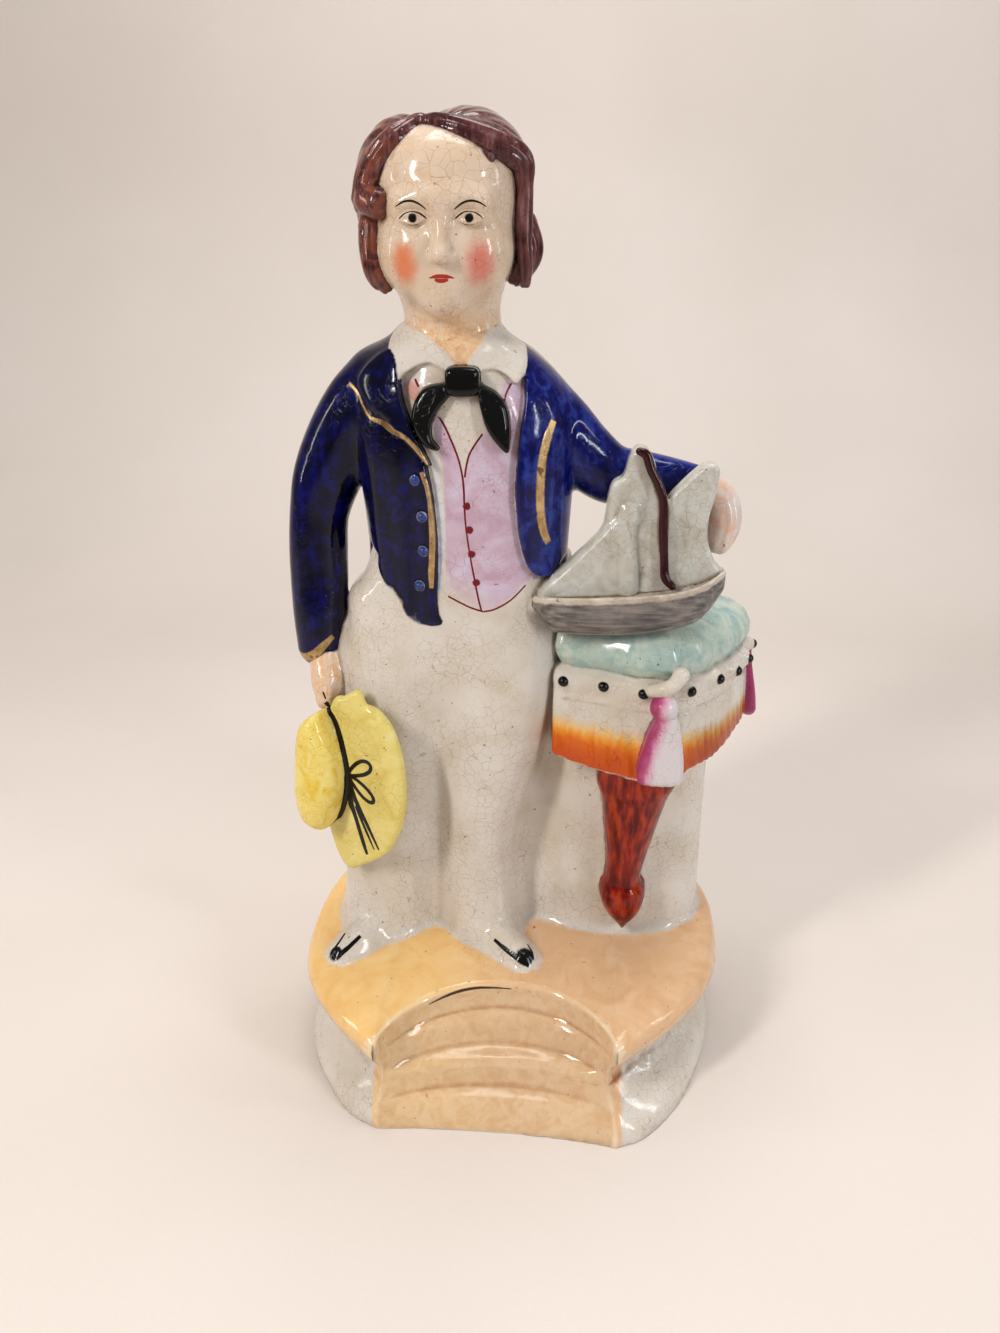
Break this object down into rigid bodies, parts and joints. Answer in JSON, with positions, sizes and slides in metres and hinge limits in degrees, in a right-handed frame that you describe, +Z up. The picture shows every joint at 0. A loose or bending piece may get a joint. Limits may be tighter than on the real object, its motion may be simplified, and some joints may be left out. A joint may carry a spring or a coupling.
{
  "type": "pottery flatback figure",
  "caption": "Glazed earthenware flatback figure of a boy with a hat and a toy boat beside a draped table, on a stepped base.",
  "frame": {"origin": "on the flat underside, under the middle of the base", "axes": "+Z up, -Y is the figure's front, +X is the viewer's right"},
  "size_m": [0.1372, 0.0941, 0.2608],
  "materials": {
    "glazed_earthenware": "glossy lead glaze, finely crazed, over painted enamel colours"
  },
  "bodies": {
    "root": {"figure": "glazed_earthenware"}
  },
  "joints": []
}
